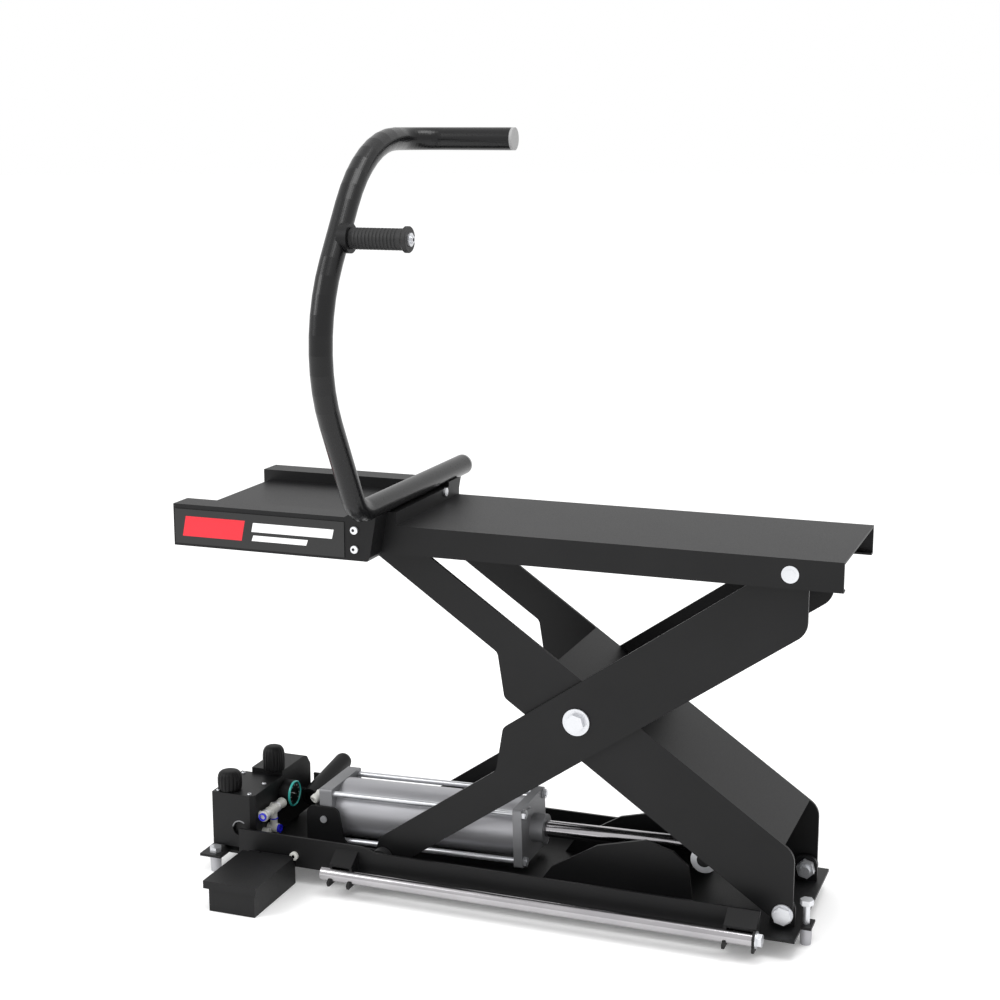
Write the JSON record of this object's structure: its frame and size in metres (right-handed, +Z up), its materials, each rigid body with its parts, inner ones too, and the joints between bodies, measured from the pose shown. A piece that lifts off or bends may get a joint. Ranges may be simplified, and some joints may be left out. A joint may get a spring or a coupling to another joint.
{
  "type": "pneumatic scissor wheel lift",
  "caption": "Low scissor lift for vehicle wheels: a lying air cylinder raises a narrow deck with two wheel rails; a bent guard tube and side grip steady the wheel.",
  "frame": {"origin": "centre of the base plate's underside, between its two ends and on the centre plane", "axes": "+X along the base away from the control box, +Y to the side away from the pedal and side rod, +Z up"},
  "size_m": [0.9868, 0.5222, 1.1351],
  "materials": {
    "black_steel": "satin black powder coat",
    "black_tube": "gloss black paint",
    "zinc_steel": "bright zinc plate",
    "chrome_bar": "polished chrome",
    "barrel": "drawn and anodised",
    "cap_alloy": "machined, light anodise",
    "bronze": "sintered bronze",
    "black_rubber": "moulded",
    "black_plastic": "moulded, fine grain",
    "grey_plastic": "moulded",
    "blue_plastic": "moulded",
    "dial": "dial and ring",
    "label": "printed film with plain stripes",
    "cap_grey": "push-in plug"
  },
  "bodies": {
    "base": {"base_plate": "black_steel", "base_walls": "black_steel", "roller_tracks": "black_steel", "pivot_lugs": "black_steel", "cylinder_ears": "black_steel", "cylinder_pins": "zinc_steel", "cam_plates": "black_steel", "rod_brackets": "black_steel", "side_rod": "chrome_bar", "side_rod_bolt": "zinc_steel", "foot_sleeves": "cap_alloy", "foot_bolts": "zinc_steel", "pivot_bolts": "zinc_steel", "control_box": "black_steel", "gauge": "dial", "air_fittings": "grey_plastic", "fitting_collars": "blue_plastic", "silencer": "black_plastic", "pedal_body": "black_steel"},
    "inner_arm": {"inner_arm": "black_steel", "arm_bushes": "bronze", "cam_ribs": "black_steel", "top_axle": "zinc_steel", "centre_bolts": "zinc_steel", "centre_nuts": "zinc_steel"},
    "outer_arm": {"outer_arm_front": "black_steel", "outer_arm_rear": "black_steel", "outer_bushes": "bronze", "cross_tube": "black_steel", "low_axles": "zinc_steel"},
    "table": {"deck": "black_steel", "deck_tracks": "black_steel", "deck_shaft": "zinc_steel", "rail_front": "black_steel", "rail_rear": "black_steel", "label_panel": "label", "rail_screws": "zinc_steel", "end_beam": "black_steel", "guard_hoop": "black_tube", "hoop_caps": "cap_grey", "grip_saddle": "black_steel", "side_grip": "black_rubber", "grip_screw": "zinc_steel"},
    "cylinder": {"cylinder_barrel": "barrel", "rear_cap": "cap_alloy", "front_cap": "cap_alloy", "tie_rods": "zinc_steel"},
    "rod": {"piston_rod": "chrome_bar", "crosshead": "black_steel"},
    "top_roller_front": {"top_roller_front": "black_plastic"},
    "top_roller_rear": {"top_roller_rear": "black_plastic"},
    "low_roller_front": {"low_roller_front": "black_plastic"},
    "low_roller_rear": {"low_roller_rear": "black_plastic"},
    "cam_roller_front": {"cam_roller_front": "zinc_steel"},
    "cam_roller_rear": {"cam_roller_rear": "zinc_steel"},
    "knob_front": {"knob_front": "black_plastic"},
    "knob_rear": {"knob_rear": "black_plastic"},
    "pedal_lid": {"pedal_lid": "black_steel"}
  },
  "joints": [
    {"name": "lift", "type": "hinge", "parent": "base", "child": "inner_arm", "pos_m": [0.4075, 0, 0.024], "axis": [0, 1, 0], "range_deg": [-21.3, 0]},
    {"name": "scissor", "type": "hinge", "parent": "inner_arm", "child": "outer_arm", "pos_m": [0.10261, 0, 0.27355], "axis": [0, 1, 0], "range_deg": [-0.1, 42.7]},
    {"name": "deck_level", "type": "hinge", "parent": "outer_arm", "child": "table", "pos_m": [0.4075, 0, 0.5231], "axis": [0, 1, 0], "range_deg": [-21.4, 0.1]},
    {"name": "cylinder_tilt", "type": "hinge", "parent": "base", "child": "cylinder", "pos_m": [-0.32129, 0, 0.0525], "axis": [0, 1, 0], "range_deg": [-1.53, 0.01]},
    {"name": "piston", "type": "slide", "parent": "cylinder", "child": "rod", "axis": [0.9996, 0, 0.0286], "range_m": [-0.2305, 0.0005]},
    {"name": "top_roller_front_spin", "type": "hinge", "parent": "inner_arm", "child": "top_roller_front", "pos_m": [-0.20229, -0.1107, 0.5231], "axis": [0, 1, 0], "continuous": true},
    {"name": "top_roller_rear_spin", "type": "hinge", "parent": "inner_arm", "child": "top_roller_rear", "pos_m": [-0.20229, 0.1107, 0.5231], "axis": [0, 1, 0], "continuous": true},
    {"name": "low_roller_front_spin", "type": "hinge", "parent": "outer_arm", "child": "low_roller_front", "pos_m": [-0.20229, -0.1107, 0.024], "axis": [0, 1, 0], "continuous": true},
    {"name": "low_roller_rear_spin", "type": "hinge", "parent": "outer_arm", "child": "low_roller_rear", "pos_m": [-0.20229, 0.1107, 0.024], "axis": [0, 1, 0], "continuous": true},
    {"name": "cam_roller_front_spin", "type": "hinge", "parent": "rod", "child": "cam_roller_front", "pos_m": [0.28249, -0.044, 0.06975], "axis": [0, 1, 0], "continuous": true},
    {"name": "cam_roller_rear_spin", "type": "hinge", "parent": "rod", "child": "cam_roller_rear", "pos_m": [0.28249, 0.044, 0.06975], "axis": [0, 1, 0], "continuous": true},
    {"name": "knob_front_turn", "type": "hinge", "parent": "base", "child": "knob_front", "pos_m": [-0.4635, -0.1, 0.112], "axis": [0, 0, 1], "range_deg": [-540, 540]},
    {"name": "knob_rear_turn", "type": "hinge", "parent": "base", "child": "knob_rear", "pos_m": [-0.4295, -0.017, 0.125], "axis": [0, 0, 1], "range_deg": [-540, 540]},
    {"name": "pedal_press", "type": "hinge", "parent": "base", "child": "pedal_lid", "pos_m": [-0.374, -0.144, 0.015], "axis": [1, 0, 0], "range_deg": [0, 2.5], "stiffness_Nm_per_rad": 10, "springref_deg": -5.73}
  ],
  "couplings": [
    {"joint": "scissor", "follows": "lift", "ratio": -2},
    {"joint": "deck_level", "follows": "lift", "ratio": 1},
    {"joint": "cylinder_tilt", "follows": "lift", "ratio": 0.071362},
    {"joint": "piston", "follows": "lift", "m_per_rad": 0.61869}
  ]
}
